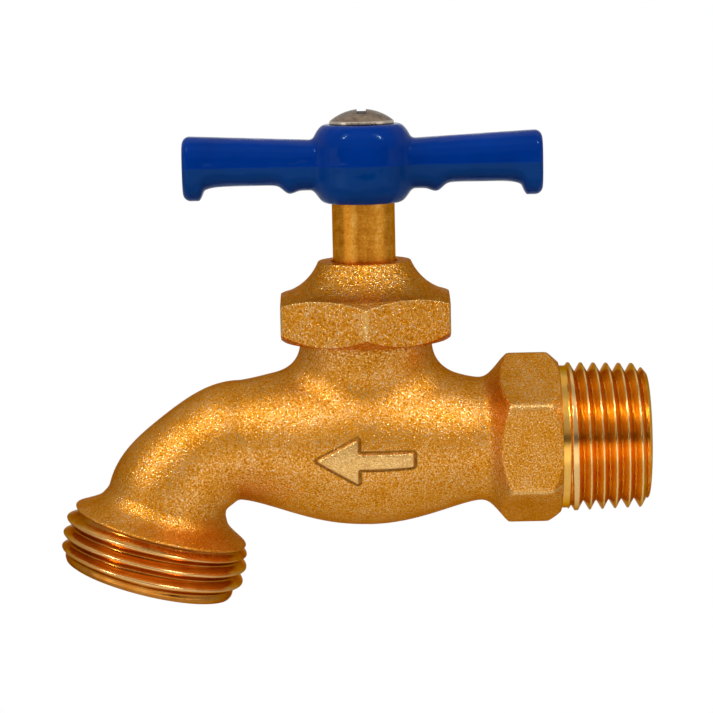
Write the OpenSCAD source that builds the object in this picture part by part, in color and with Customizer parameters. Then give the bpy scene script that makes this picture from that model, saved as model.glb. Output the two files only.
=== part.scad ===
// Hose bib: garden tap with a tapered pipe-thread inlet, a bent spout with a hose thread,
// a rising screw stem under a packing nut, and a tee handle.
// Frame: origin at the centre of the pipe end, +X out of the pipe end, +Z up along the stem.

/* [Pipe inlet] */
// Distance from the stem axis to the pipe end
inlet_reach = 40; // [38:0.5:46]
// Crest diameter of the tapered pipe thread at the pipe end
pipe_thread_d = 20.64; // [20:0.02:21.2]
// Pitch of the pipe thread
pipe_pitch = 1.8143; // [1.5:0.01:2]
// Length of the pipe thread
pipe_thread_len = 11.6; // [10:0.1:12.4]
// Length of the plain land between pipe thread and hexagon
pipe_land_len = 1; // [0.6:0.1:1.6]
// Bore of the pipe end
inlet_bore_d = 12.7; // [10:0.1:13.2]
// Width of the wrench hexagon across its flats
hex_af = 21.6; // [21.2:0.1:23]
// Diameter over the turned corners of the hexagon
hex_crown_d = 24.7; // [23.6:0.1:26]
// Length of the hexagon along its corners
hex_crown_len = 5.6; // [4:0.1:6]
// Length of the turned chamfer at the thread side of the hexagon
hex_chamfer_len = 1.7; // [1.6:0.1:2.6]

/* [Body casting] */
// Greatest diameter of the globe
globe_d = 24; // [23:0.1:26]
// Length of the globe towards the inlet
globe_len_in = 16.5; // [15:0.1:17]
// Length of the globe towards the spout
globe_len_out = 18.5; // [17:0.1:19]
// Diameter of the waist and of the spout tube
waist_d = 17.2; // [16.6:0.1:18]
// Diameter of the neck below the packing nut
neck_d = 18.8; // [18.8:0.1:19.6]
// Width of the cast fillet between neck and globe
neck_fillet = 3.7; // [3:0.1:4.4]
// Height of the neck's top face above the pipe axis
neck_top = 19.8; // [19:0.1:20.4]

/* [Spout] */
// Height of the spout tube's axis above the pipe axis
spout_rise = 0.5; // [0:0.02:1.2]
// Distance from the stem axis to the corner where the spout axes cross
spout_reach = 26.7; // [26:0.1:30]
// Centre-line radius of the bend
bend_r = 11; // [10.6:0.1:12]
// Tilt of the outlet from straight down
outlet_tilt = 15.5; // [5:0.5:25]
// Distance from the corner to the outlet's end face
outlet_reach = 20.6; // [20:0.05:24]
// Bore of the spout
spout_bore_d = 12; // [10:0.1:12.6]
// Diameter of the cast flange above the hose thread
flange_d = 25.2; // [24.6:0.1:26]
// Crest diameter of the hose thread
hose_thread_d = 26.99; // [26.4:0.01:27.6]
// Pitch of the hose thread
hose_pitch = 2.2087; // [2:0.01:2.4]
// Length from the flange to the end face
hose_thread_len = 7.7; // [7:0.1:9]
// Length of the plain pilot at the outlet's end
hose_pilot_len = 1.2; // [1:0.1:1.6]
// Bore of the outlet's mouth
mouth_d = 18.4; // [16:0.1:19.4]
// Depth of the outlet's mouth
mouth_depth = 7; // [5:0.1:7.4]

/* [Seat and stem] */
// Height of the seat above the pipe axis
seat_top = 4; // [3.6:0.1:4.4]
// Height of the raised seat ring
seat_rise = 1; // [0.6:0.1:1.2]
// Bore of the seat
seat_bore_d = 8.8; // [8:0.1:9.2]
// Diameter of the seat washer
washer_d = 11.6; // [11:0.1:11.8]
// Thickness of the seat washer
washer_t = 2.95; // [2.6:0.05:3.2]
// Thickness of the disc holder's flange
holder_t = 1.4; // [1.2:0.1:1.6]
// Diameter of the stem's shaft
stem_d = 8.95; // [8.4:0.05:9.2]
// Crest diameter of the stem's screw thread
stem_thread_d = 13.6; // [13.4:0.1:14.2]
// Lead of the stem's screw thread
stem_lead = 2.54; // [2.3:0.02:2.6]
// Turns of the handle from shut to fully open
open_turns = 2.25; // [1.75:0.25:2.25]
// Width of the square drive at the stem's top
drive_af = 6; // [5.6:0.1:6.2]

/* [Packing nut] */
// Width of the packing nut across its flats
nut_af = 24; // [23.6:0.1:25]
// Height of the packing nut's bottom face above the pipe axis
nut_bottom = 14.8; // [14.5:0.1:15.2]
// Height of the packing nut
nut_h = 11.25; // [10.8:0.05:11.6]
// Diameter of the packing nut's top rim
nut_rim_d = 13.2; // [12.8:0.1:13.8]
// Crest diameter of the neck thread under the packing nut
neck_thread_d = 18.4; // [18:0.1:18.6]
// Thickness of the packing nut's roof
nut_roof = 1.95; // [1.6:0.05:2.2]
// Thickness of the friction ring
ring_t = 1.2; // [0.8:0.1:1.4]
// Diameter of the packing ring
packing_d = 12.8; // [12.2:0.1:13]

/* [Handle] */
// Length of the tee handle
handle_len = 51; // [44:0.5:60]
// Height of the hub's bottom face above the pipe axis
hub_bottom = 34.35; // [34:0.05:37]
// Height of the hub
hub_h = 11.1; // [10.4:0.1:12]
// Greatest diameter of the hub
hub_d = 14.4; // [14:0.1:16]
// Diameter of the hub's end faces
hub_end_d = 11.1; // [10.8:0.1:12]
// Height of an arm at its middle
arm_h = 6.6; // [5.6:0.1:7]
// Depth of an arm from front to back
arm_depth = 7.4; // [6:0.1:8.4]
// Rise of the arms from hub to tip
arm_rise = 1.2; // [0:0.1:2]
// Drop of the lip under an arm's tip
lip_drop = 2; // [0.6:0.1:2.6]
// Length of the lip along the arm
lip_len = 2.7; // [2:0.1:4]
// Diameter of the handle screw's head
screw_head_d = 9.2; // [8:0.1:9.6]
// Height of the handle screw's head
screw_head_h = 2.1; // [1.8:0.1:2.6]
// Thread diameter of the handle screw
screw_d = 4.8; // [4:0.1:4.8]

/* [Clearances] */
// Radial clearance of threads that stay still
still_fit = 0.03; // [0.02:0.01:0.06]
// Radial clearance of the shaft in its packing
shaft_fit = 0.05; // [0.03:0.01:0.1]
// Clearance round moving pieces
free_gap = 0.2; // [0.15:0.01:0.25]
// Gap left where faces meet without load
seat_gap = 0.05; // [0.02:0.01:0.1]

/* [Hidden] */
$fn = 64;

brass = "goldenrod";
brass_cast = "darkgoldenrod";
nickel = "silver";
enamel = "mediumblue";
rubber = "dimgray";
graphite = "gray";

// Lift of the stem over its whole travel
lift = open_turns * stem_lead;

// Hexagon and pipe thread along the pipe axis
hex_end = inlet_reach - pipe_thread_len - pipe_land_len;
crown_r = hex_crown_d / 2;
crown_x1 = hex_end - hex_chamfer_len;
crown_x0 = crown_x1 - hex_crown_len;
waist_r = waist_d / 2;
globe_r = globe_d / 2;
pipe_taper = 1 / 16;
land_inset = 0.1;
land_r = pipe_thread_d / 2 - land_inset;

// Fillets: the slope and the softness of a flare that leaves a tube
hex_slope = 1.26;
hex_soft = 0.9;
flange_slope = 1.9;
flange_soft = 1;
flange_rim = 0.4;

// Spout path
turn = 90 - outlet_tilt;
bend_len = bend_r * tan(turn / 2);
bend_x = bend_len - spout_reach;
bend_z = spout_rise - bend_r;
bend_dip = 0.5;
bend_pull = 0.75;
flange_s = outlet_reach - hose_thread_len;
flange_r = flange_d / 2;

// Neck
neck_r = neck_d / 2;
// The cast skin lies a little inside the neck's wall and ends below the nut;
// the neck's wall reaches down into the globe
skin_inset = 0.1;
skin_short = 0.9;
neck_root = 8;
skin_neck_r = neck_r - skin_inset;
skin_top = nut_bottom - skin_short;
least_fillet = 0.3;
neck_thread_r = neck_thread_d / 2;

// Heights of the moving column with the valve shut
washer_z = seat_top + seat_gap;
holder_z = washer_z + washer_t;
stem_foot = holder_z + holder_t + seat_gap;
stem_boss = 0.55;
thread_low = stem_foot + stem_boss;
thread_high = neck_top - lift - 2 * seat_gap;
thread_lead_in = 0.3;
chamber_top = thread_low + thread_lead_in;

// Bodies of revolution inside the stem
stem_r = stem_d / 2;
stem_thread_r = stem_thread_d / 2;
stem_thread_depth = 1;
stem_root_r = stem_thread_r - stem_thread_depth;
foot_inset = 0.1;
bore_crest_r = stem_root_r + free_gap;
bore_root_r = stem_thread_r + free_gap;
shank_r = 2.3;
shank_len = 5.5;
chamber_room = 0.4;
chamber_r = bore_root_r + chamber_room;
plate_t = 1;
plate_bottom = seat_top - seat_rise - plate_t;
seat_ring_w = 1.2;
seat_ring_r = seat_bore_d / 2 + seat_ring_w;

// Walls inside the casting
wall = 2;
weir_room = 0.6;
weir_x = -seat_bore_d / 2 - weir_room;
pocket_inset = 0.6;
pass_lift = 0.2;
// Step in radius where the straight bores open into the bend
bore_step = 0.1;
// Step in radius at the inner end of the pipe bore
inlet_ledge = 0.3;

// Heights in the packing nut
nut_top = nut_bottom + nut_h;
ring_z = neck_top;
packing_z = ring_z + ring_t;
packing_top = nut_top - nut_roof;
nut_step_room = 0.4;
nut_step = packing_z + nut_step_room;
nut_relief = 1;
ring_inset = 0.3;

// Heights in the handle
hub_top = hub_bottom + hub_h;
hub_mid = hub_bottom + hub_h / 2;
socket_depth = 0.5;
shoulder_z = hub_bottom + socket_depth;
drive_short = 2.2;
drive_top = hub_top - drive_short;
screw_grip = 7;
screw_tip = drive_top - screw_grip;
tap_depth = 0.8;
drive_room = 0.2;

// Smallest piece of material added so that cuts pass right through
past = 0.5;

function clamp01(t) = min(1, max(0, t));
function smooth(t) = clamp01(t) * clamp01(t) * (3 - 2 * clamp01(t));

// Height of a soft-cornered ramp that rises with the given slope
function flare(u, slope, soft) = slope * (u + sqrt(u * u + soft * soft)) / 2;
// Place on the ramp where it has risen by h
function flare_at(h, slope, soft) = h / slope - soft * soft * slope / (4 * h);

// Radius of the casting along the pipe axis, without the neck
hex_flare_x = crown_x0 - flare_at(crown_r - waist_r, hex_slope, hex_soft);
function globe_len(x) = x < 0 ? globe_len_out : globe_len_in;
function globe_bump(x) = pow(max(0, 1 - pow(x / globe_len(x), 2)), 1.5);
function hex_flare(x) = x > 0 ? flare(x - hex_flare_x, hex_slope, hex_soft) : 0;
function turned_r(x) = min(
    waist_r + (globe_r - waist_r) * globe_bump(x) + hex_flare(x),
    crown_r,
    hex_af / 2 + (hex_end - x) * (crown_r - hex_af / 2) / hex_chamfer_len);

// The spout's axis leaves the pipe axis at rise_start and reaches its height at the bend
rise_start = 4;
function axis_z(x) = spout_rise * smooth((-x - rise_start) / (spout_reach - bend_len - rise_start));

// Blend of the neck into the globe: the fillet narrows where the faces meet at a flat angle
function blend(p, q, k) = min(p, q) - pow(max(k - abs(p - q), 0), 2) / (4 * k);
function casting(x, a, rho) =
    let (
        y = rho * cos(a),
        out = sqrt(x * x + y * y),
        flat_share = min(1, abs(y * cos(a)) / max(out, seat_gap)))
    blend(rho - turned_r(x), out - skin_neck_r, least_fillet + neck_fillet * (1 - flat_share));
function skin_field(x, a, rho) =
    max(casting(x, a, rho), axis_z(x) + rho * sin(a) - skin_top);
function skin_rho(x, a, low, high, n) =
    n == 0 ? (low + high) / 2 :
    let (mid = (low + high) / 2)
    skin_field(x, a, mid) < 0 ? skin_rho(x, a, mid, high, n - 1) : skin_rho(x, a, low, mid, n - 1);
halvings = 15;
function near_neck(x, a) = sin(a) > 0 && abs(x) < skin_neck_r + neck_fillet + least_fillet;
function straight_r(x, a) =
    near_neck(x, a) ? skin_rho(x, a, wall, 3 * globe_r, halvings) : turned_r(x);

// Rings of points round the path of the casting, from the hexagon to the flange.
// The rings are closer spaced in angle where the sides of the neck rise.
angle_spans = [[0:10:40], [45:5:75], [80:10:100], [105:5:135], [140:10:350]];
ring_angles = [for (span = angle_spans) for (a = span) a];
function straight_ring(x) =
    [for (a = ring_angles) let (r = straight_r(x, a)) [x, r * cos(a), axis_z(x) + r * sin(a)]];
function bend_ring(t) =
    let (mid = pow(sin(180 * t / turn), 2), c = bend_r - bend_pull * mid, r = waist_r - bend_dip * mid)
    [for (a = ring_angles) let (k = c + r * sin(a))
        [bend_x - k * sin(t), r * cos(a), bend_z + k * cos(t)]];
flange_ease = 1.6;
flange_flare_s = flange_s - flange_rim - flare_at(flange_r - waist_r, flange_slope, flange_soft);
function outlet_ring(s) =
    let (
        rise = flare(s - flange_flare_s, flange_slope, flange_soft) * smooth((s - bend_len) / flange_ease),
        r = min(flange_r, waist_r + rise))
    [for (a = ring_angles) let (k = r * sin(a))
        [-spout_reach - s * sin(outlet_tilt) - k * cos(outlet_tilt), r * cos(a),
         spout_rise - s * cos(outlet_tilt) + k * sin(outlet_tilt)]];

function steps(from, to, n) = [for (i = [0:n - 1]) from + (to - from) * i / n];
fillet_in = skin_neck_r + neck_fillet;
stations = concat(
    [hex_end, crown_x1, crown_x0],
    steps(crown_x0 - hex_soft / 2, hex_flare_x - hex_soft, 5),
    steps(hex_flare_x - hex_soft, fillet_in, 2),
    [for (i = [0:5]) skin_neck_r + neck_fillet * pow(1 - i / 6, 2)],
    [for (i = [0:16]) skin_neck_r * cos(1 + 178 * i / 16)],
    [for (i = [1:6]) -skin_neck_r - neck_fillet * pow(i / 6, 2)],
    steps(-fillet_in - past, bend_x, 3));
skin_rings = concat(
    [for (x = stations) straight_ring(x)],
    [for (t = steps(0, turn, 12)) bend_ring(t)],
    [for (s = steps(bend_len, flange_flare_s - flange_soft, 2)) outlet_ring(s)],
    [for (s = steps(flange_flare_s - flange_soft, flange_s - flange_rim, 6)) outlet_ring(s)],
    [outlet_ring(flange_s - flange_rim), outlet_ring(flange_s)]);

// Closed solid through a row of rings
module loft(rings) {
    n = len(rings);
    m = len(rings[0]);
    sides = [for (i = [0:n - 2], j = [0:m - 1]) let (p = i * m + j, q = i * m + (j + 1) % m)
        each [[p, q, q + m], [p, q + m, p + m]]];
    first = [for (j = [m - 1:-1:0]) j];
    last = [for (j = [0:m - 1]) (n - 1) * m + j];
    polyhedron([for (r = rings) each r], concat(sides, [first, last]), 4);
}

// Strip that winds round +Z. low and high are its inner and outer radius, w_low and w_high its
// widths there, z0 its height at angle 0, and it runs from turn t0 to turn t1. Over the first
// and the last half turn it moves outwards by out0 and out1. cone is the change of radius along Z.
module helix(low, high, w_low, w_high, pitch, z0, t0, t1, out0 = 0, out1 = 0, cone = 0, seg = 30) {
    n = ceil((t1 - t0) * seg);
    rings = [for (i = [0:n]) let (
            t = t0 + (t1 - t0) * i / n,
            z = z0 + pitch * t,
            out = out0 * clamp01(1 - 2 * (t - t0)) + out1 * clamp01(1 - 2 * (t1 - t)) + cone * z)
        [for (q = [[low, w_low], [low, -w_low], [high, -w_high], [high, w_high]])
            [(q[0] + out) * cos(360 * t), (q[0] + out) * sin(360 * t), z + q[1] / 2]]];
    loft(rings);
}

// The column of the stem is the origin of the lengths above
module at_stem() {
    translate([-inlet_reach, 0, 0]) children();
}

module along_x(x) {
    translate([x, 0, 0]) rotate([0, 90, 0]) children();
}

// Tapered pipe thread. Local +Z runs from the pipe end into the body.
crest_flat = 0.1;
root_flat = 0.05;
pipe_depth = (1 - crest_flat - root_flat) * pipe_pitch / 2 / tan(30);
pipe_chamfer = 0.7;
pipe_chamfer_len = 1.12;
pipe_phase = 0.59;
pipe_fade = 0.4;
pipe_short = 0.6;
// Height by which a cut groove passes above its crests, and by which it leaves the metal at its end
groove_over = 0.13;
groove_exit = 0.25;
thread_seg = 36;
function groove_w(flat, pitch) = (1 - flat) * pitch + 2 * groove_over * tan(30);
module pipe_thread() {
    r = pipe_thread_d / 2;
    end = pipe_thread_len;
    difference() {
        union() {
            rotate_extrude() polygon([
                [0, 0],
                [r - pipe_depth, 0],
                [r + pipe_chamfer * pipe_taper / 2, pipe_chamfer_len],
                [r + end * pipe_taper / 2, end - pipe_fade],
                [land_r, end],
                [0, end]]);
            translate([0, 0, end - past]) cylinder(r = land_r, h = pipe_land_len + 2 * past);
        }
        helix(
            low = r - pipe_depth,
            high = r + groove_over,
            w_low = root_flat * pipe_pitch,
            w_high = groove_w(crest_flat, pipe_pitch),
            pitch = pipe_pitch,
            z0 = pipe_phase * pipe_pitch,
            t0 = -1.5,
            t1 = (end - pipe_short) / pipe_pitch - pipe_phase,
            out1 = pipe_depth + groove_exit,
            cone = pipe_taper / 2,
            seg = thread_seg);
    }
}

// Straight hose thread. Local +Z runs from the corner of the spout to the end face.
hose_crest_flat = 0.16;
hose_root_flat = 0.12;
hose_depth = (1 - hose_crest_flat - hose_root_flat) * hose_pitch / 2 / tan(30);
hose_lead_in = 1.7;
hose_neck = 0.3;
hose_neck_over = 0.12;
hose_ramp = 0.7;
pilot_over = 0.25;
pilot_edge = 0.4;
module hose_thread() {
    r = hose_thread_d / 2;
    root = r - hose_depth;
    pilot = root + pilot_over;
    pilot_s = outlet_reach - hose_pilot_len;
    difference() {
        rotate_extrude() polygon([
            [0, flange_s - flange_rim - past],
            [root + hose_neck_over, flange_s - flange_rim - past],
            [root + hose_neck_over, flange_s + hose_neck],
            [r, flange_s + hose_neck + hose_ramp],
            [r, pilot_s - hose_ramp],
            [pilot, pilot_s],
            [pilot, outlet_reach - pilot_edge],
            [pilot - pilot_edge, outlet_reach],
            [0, outlet_reach]]);
        translate([0, 0, flange_s]) helix(
            low = root,
            high = r + groove_over,
            w_low = hose_root_flat * hose_pitch,
            w_high = groove_w(hose_crest_flat, hose_pitch),
            pitch = hose_pitch,
            z0 = hose_lead_in + hose_pitch / 2,
            t0 = -1.25,
            t1 = (hose_thread_len - hose_pilot_len - hose_lead_in) / hose_pitch,
            out1 = hose_depth + groove_exit,
            seg = thread_seg);
    }
}

module at_outlet() {
    translate([-spout_reach, 0, spout_rise]) rotate([0, 180 + outlet_tilt, 0]) children();
}

// Widths of the stem thread's groove in the bore and on the stem, as shares of its lead
bore_groove_low = 0.62;
bore_groove_high = 0.36;
stem_groove_low = 0.5;
stem_groove_high = 0.72;
stem_seg = 24;

// Waterway: pipe bore, room under the seat, seat, room above it, weir, spout and mouth
module waterway() {
    bore_r = inlet_bore_d / 2;
    spout_r = spout_bore_d / 2;
    gate_x = chamber_r + wall;
    pass_r = (chamber_top - plate_bottom - plate_t) / 2;
    along_x(gate_x) cylinder(r = bore_r, h = inlet_reach - gate_x + past);
    intersection() {
        union() {
            along_x(weir_x) cylinder(r = bore_r - inlet_ledge, h = gate_x - weir_x + past);
            sphere(r = globe_r - wall - pocket_inset);
        }
        translate([weir_x, -globe_r, -globe_r])
            cube([gate_x - weir_x, 2 * globe_r, globe_r + plate_bottom]);
    }
    cylinder(d = seat_bore_d, h = seat_top + past);
    difference() {
        translate([0, 0, seat_top - seat_rise])
            cylinder(r = chamber_r, h = chamber_top - seat_top + seat_rise);
        cylinder(r = seat_ring_r, h = seat_top);
    }
    translate([0, 0, chamber_top - past])
        cylinder(r = bore_crest_r, h = neck_top - chamber_top + 2 * past);
    helix(
        low = bore_crest_r - free_gap,
        high = bore_root_r,
        w_low = stem_lead * bore_groove_low,
        w_high = stem_lead * bore_groove_high,
        pitch = stem_lead,
        z0 = chamber_top - stem_lead,
        t0 = 0,
        t1 = (neck_top - chamber_top) / stem_lead + 2,
        seg = stem_seg);
    translate([0, 0, plate_bottom + plate_t + pass_r + pass_lift])
        along_x(bend_x + bend_len - wall) cylinder(r = pass_r, h = -bend_x - bend_len + wall);
    translate([0, 0, spout_rise])
        along_x(bend_x - past) cylinder(r = spout_r - bore_step, h = weir_x - wall - bend_x + past);
    translate([bend_x, 0, bend_z]) rotate([90, 0, 0]) rotate([0, 0, 90])
        rotate_extrude(angle = turn) translate([bend_r, 0]) circle(r = spout_r);
    at_outlet() {
        translate([0, 0, bend_len - past])
            cylinder(r = spout_r - bore_step, h = outlet_reach - bend_len + past);
        translate([0, 0, outlet_reach - mouth_depth]) cylinder(d = mouth_d, h = mouth_depth + past);
    }
}

// Casting with its hexagon cut from the turned boss; two flats face front and back
module casting_skin() {
    side = 2 * (inlet_reach + spout_reach);
    intersection() {
        loft(skin_rings);
        union() {
            translate([hex_flare_x - side, -side / 2, -side / 2]) cube(side);
            along_x(hex_flare_x - past)
                cylinder(r = hex_af / 2 / cos(30), h = hex_end - hex_flare_x + 2 * past, $fn = 6);
        }
    }
}

module valve_body() {
    color(brass_cast) at_stem() difference() {
        union() {
            casting_skin();
            translate([0, 0, skin_top - neck_root])
                cylinder(r = neck_r, h = nut_bottom + nut_relief - free_gap - skin_top + neck_root);
            cylinder(r = neck_thread_r, h = neck_top);
            translate([inlet_reach, 0, 0]) rotate([0, -90, 0]) pipe_thread();
            at_outlet() hose_thread();
        }
        waterway();
    }
}

// Hexagon with turned ends: a bell-shaped top and chamfered corners
bell_r = 7.8;
bell_over = 2.95;
nut_face_inset = 0.2;
nut_foot_slope = 0.72;
module packing_nut() {
    flat = nut_af / 2;
    corner = nut_af / 2 / cos(30);
    bell_z = nut_top + bell_over;
    bell_x = nut_rim_d / 2 + sqrt(bell_r * bell_r - pow(bell_z - nut_top, 2));
    brim_z = bell_z - sqrt(bell_r * bell_r - pow(bell_x - flat, 2));
    skirt = tan(30) * (corner - flat + past);
    foot = nut_foot_slope * (corner - flat + nut_face_inset + past);
    color(brass) at_stem() difference() {
        intersection() {
            translate([0, 0, nut_bottom]) rotate([0, 0, 30]) cylinder(r = corner, h = nut_h, $fn = 6);
            rotate_extrude() difference() {
                polygon([
                    [0, nut_bottom],
                    [flat - nut_face_inset, nut_bottom],
                    [corner + past, nut_bottom + foot],
                    [corner + past, brim_z - skirt],
                    [flat, brim_z],
                    [flat, nut_top],
                    [0, nut_top]]);
                translate([bell_x, bell_z]) circle(r = bell_r);
            }
        }
        translate([0, 0, nut_bottom - past]) cylinder(r = neck_r + free_gap, h = nut_relief + past);
        translate([0, 0, nut_bottom]) cylinder(r = neck_thread_r + still_fit, h = nut_step - nut_bottom);
        cylinder(r = packing_d / 2 + still_fit, h = packing_top);
        cylinder(r = stem_r + free_gap, h = nut_top + past);
    }
}

module washer(outer, inner, z, h) {
    at_stem() translate([0, 0, z]) difference() {
        cylinder(r = outer, h = h);
        translate([0, 0, -past]) cylinder(r = inner, h = h + 2 * past);
    }
}

module packing_ring() {
    color(graphite) washer(packing_d / 2, stem_r + shaft_fit, packing_z, packing_top - packing_z);
}

module friction_ring() {
    color(brass) washer(neck_thread_r - ring_inset, stem_r + free_gap, ring_z, ring_t);
}

module stem() {
    color(brass) at_stem() difference() {
        union() {
            translate([0, 0, stem_foot])
                cylinder(r = stem_root_r - foot_inset, h = thread_low - stem_foot + past);
            difference() {
                translate([0, 0, thread_low]) cylinder(r = stem_thread_r, h = thread_high - thread_low);
                helix(
                    low = stem_root_r,
                    high = stem_thread_r + free_gap,
                    w_low = stem_lead * stem_groove_low,
                    w_high = stem_lead * stem_groove_high,
                    pitch = stem_lead,
                    z0 = chamber_top - 2.5 * stem_lead,
                    t0 = 0,
                    t1 = (thread_high - chamber_top) / stem_lead + 4,
                    seg = stem_seg);
            }
            translate([0, 0, thread_high - past])
                cylinder(r = stem_r, h = shoulder_z - thread_high + past);
            intersection() {
                cylinder(r = stem_r, h = drive_top);
                translate([-drive_af / 2, -drive_af / 2, shoulder_z - past])
                    cube([drive_af, drive_af, drive_top - shoulder_z + past]);
            }
        }
        translate([0, 0, stem_foot - past]) cylinder(r = shank_r + free_gap, h = shank_len + 2 * past);
        translate([0, 0, screw_tip - tap_depth])
            cylinder(r = screw_d / 2 + still_fit, h = drive_top - screw_tip + tap_depth + past);
    }
}

seat_screw_d = 3;
seat_head_d = 6;
seat_head_h = 1.5;
seat_screw_len = 6.5;
seat_slot_w = 1;
seat_slot_depth = 0.7;
holder_over = 0.3;
module disc_holder() {
    color(brass) at_stem() difference() {
        union() {
            translate([0, 0, holder_z]) cylinder(d = washer_d + holder_over, h = holder_t);
            translate([0, 0, holder_z]) cylinder(r = shank_r, h = holder_t + shank_len);
        }
        translate([0, 0, holder_z - past])
            cylinder(r = seat_screw_d / 2 + still_fit, h = seat_screw_len - washer_t + past + seat_gap);
    }
}

module seat_washer() {
    color(rubber) washer(washer_d / 2, seat_screw_d / 2 + free_gap, washer_z, washer_t);
}

module seat_screw() {
    color(brass) at_stem() difference() {
        union() {
            translate([0, 0, washer_z - seat_head_h]) cylinder(d = seat_head_d, h = seat_head_h);
            translate([0, 0, washer_z - past]) cylinder(d = seat_screw_d, h = seat_screw_len + past);
        }
        translate([-seat_slot_w / 2, -seat_head_d, washer_z - seat_head_h - past])
            cube([seat_slot_w, 2 * seat_head_d, seat_slot_depth + past]);
    }
}

// Outline of an arm: its upper and lower edge and its half depth along its length
arm_tip = handle_len / 2;
arm_sunk = 2.4;
arm_root = hub_d / 2 - arm_sunk;
arm_lift = 0.4;
arm_mid = hub_mid + arm_lift;
nub_out = 3.5;
nub_x = hub_d / 2 + nub_out;
nub_drop = 0.75;
nub_w = 1.1;
nub_root_w = 2.6;
nub_reach = 1.6;
nub_root = 0.8;
lip_ramp = 1;
lip_hook = 0.6;
tip_round = 1.1;
arm_power = 0.75;
arm_points = 24;
function arm_round(x) = sqrt(max(0, 1 - pow(clamp01((x - arm_tip + tip_round) / tip_round), 2)));
function arm_top(x) = arm_mid + arm_h / 2 + arm_rise * (x / arm_tip - 0.5);
function arm_lip(back) =
    lip_hook * smooth(0.5 - back / lip_ramp) + (1 - lip_hook) * exp(-max(back, 0) / lip_ramp);
function arm_low(x) = arm_mid - arm_h / 2
    - lip_drop * arm_lip(arm_tip - x - lip_len)
    - nub_drop * exp(-pow((x - nub_x) / nub_w, 2))
    - nub_root * (1 - smooth((x - nub_x) / nub_root_w + 0.5));
function power(v) = sign(v) * pow(abs(v), arm_power);
function arm_ring(x) =
    let (
        top = arm_top(x) - tip_round * (1 - arm_round(x)),
        low = arm_low(x) + tip_round * (1 - arm_round(x)),
        depth = arm_depth / 2 - tip_round * (1 - arm_round(x)))
    [for (j = [0:arm_points - 1]) let (a = 360 * j / arm_points, v = power(sin(a)))
        [x, depth * power(cos(a)), arm_mid + v * (v > 0 ? top - arm_mid : arm_mid - low)]];
arm_stations = concat(
    steps(arm_root, nub_x - nub_reach, 2),
    steps(nub_x - nub_reach, nub_x + nub_reach, 7),
    steps(nub_x + nub_reach, arm_tip - lip_len - 2 * lip_ramp, 4),
    steps(arm_tip - lip_len - 2 * lip_ramp, arm_tip - tip_round, 11),
    [for (i = [0:4]) arm_tip - tip_round + tip_round * sin(20 * i)]);

module arm() {
    loft([for (i = [len(arm_stations) - 1:-1:0]) arm_ring(arm_stations[i])]);
}

// Barrel-shaped hub with two arms, a square socket for the stem and a hole for the screw
module handle() {
    color(enamel) at_stem() difference() {
        union() {
            rotate_extrude() polygon(concat(
                [[0, hub_bottom]],
                [for (t = [-1:0.1:1.01])
                    [hub_end_d / 2 + (hub_d - hub_end_d) / 2 * (1 - pow(t, 4)), hub_mid + t * hub_h / 2]],
                [[0, hub_top]]));
            arm();
            rotate([0, 0, 180]) arm();
        }
        translate([0, 0, hub_bottom - past])
            cylinder(r = stem_r + seat_gap, h = socket_depth + past);
        translate([-drive_af / 2 - seat_gap, -drive_af / 2 - seat_gap, hub_bottom])
            cube([drive_af + 2 * seat_gap, drive_af + 2 * seat_gap, drive_top + drive_room - hub_bottom]);
        cylinder(r = screw_d / 2 + free_gap, h = hub_top + past);
    }
}

// Low dome on a short cylindrical edge, with a driver slot from front to back
head_edge = 0.4;
slot_w = 1.3;
slot_depth = 0.42;
module handle_screw() {
    head_r = screw_head_d / 2;
    dome = screw_head_h - head_edge;
    ball = (head_r * head_r + dome * dome) / (2 * dome);
    color(nickel) at_stem() difference() {
        union() {
            translate([0, 0, hub_top]) cylinder(r = head_r, h = head_edge);
            intersection() {
                translate([0, 0, hub_top + screw_head_h - ball]) sphere(r = ball);
                translate([0, 0, hub_top + head_edge]) cylinder(r = head_r, h = dome + past);
            }
            translate([0, 0, screw_tip]) cylinder(d = screw_d, h = hub_top - screw_tip + head_edge / 2);
        }
        translate([-slot_w / 2, -head_r - past, hub_top + screw_head_h - slot_depth])
            cube([slot_w, screw_head_d + 2 * past, slot_depth + past]);
    }
}

valve_body();
packing_nut();
packing_ring();
friction_ring();
stem();
disc_holder();
seat_washer();
seat_screw();
handle();
handle_screw();
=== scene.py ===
import math

import bpy
import numpy as np
from mathutils import Matrix


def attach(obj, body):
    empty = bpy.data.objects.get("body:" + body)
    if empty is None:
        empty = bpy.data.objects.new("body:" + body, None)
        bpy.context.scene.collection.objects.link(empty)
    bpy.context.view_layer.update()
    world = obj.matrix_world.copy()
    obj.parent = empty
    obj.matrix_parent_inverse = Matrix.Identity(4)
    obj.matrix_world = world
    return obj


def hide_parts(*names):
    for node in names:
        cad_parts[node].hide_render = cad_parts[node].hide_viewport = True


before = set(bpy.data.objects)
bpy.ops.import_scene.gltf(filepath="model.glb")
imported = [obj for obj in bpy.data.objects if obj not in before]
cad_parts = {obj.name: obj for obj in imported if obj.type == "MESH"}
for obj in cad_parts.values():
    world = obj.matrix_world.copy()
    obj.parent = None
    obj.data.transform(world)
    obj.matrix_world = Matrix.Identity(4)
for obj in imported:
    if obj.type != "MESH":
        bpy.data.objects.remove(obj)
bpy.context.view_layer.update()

# Lengths are in millimetres about the point where the stem axis crosses the pipe axis:
# x towards the pipe end, y to the back, z up. place() turns them into the part's frame.
MM = 0.001
INLET_REACH = 40.0

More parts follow.
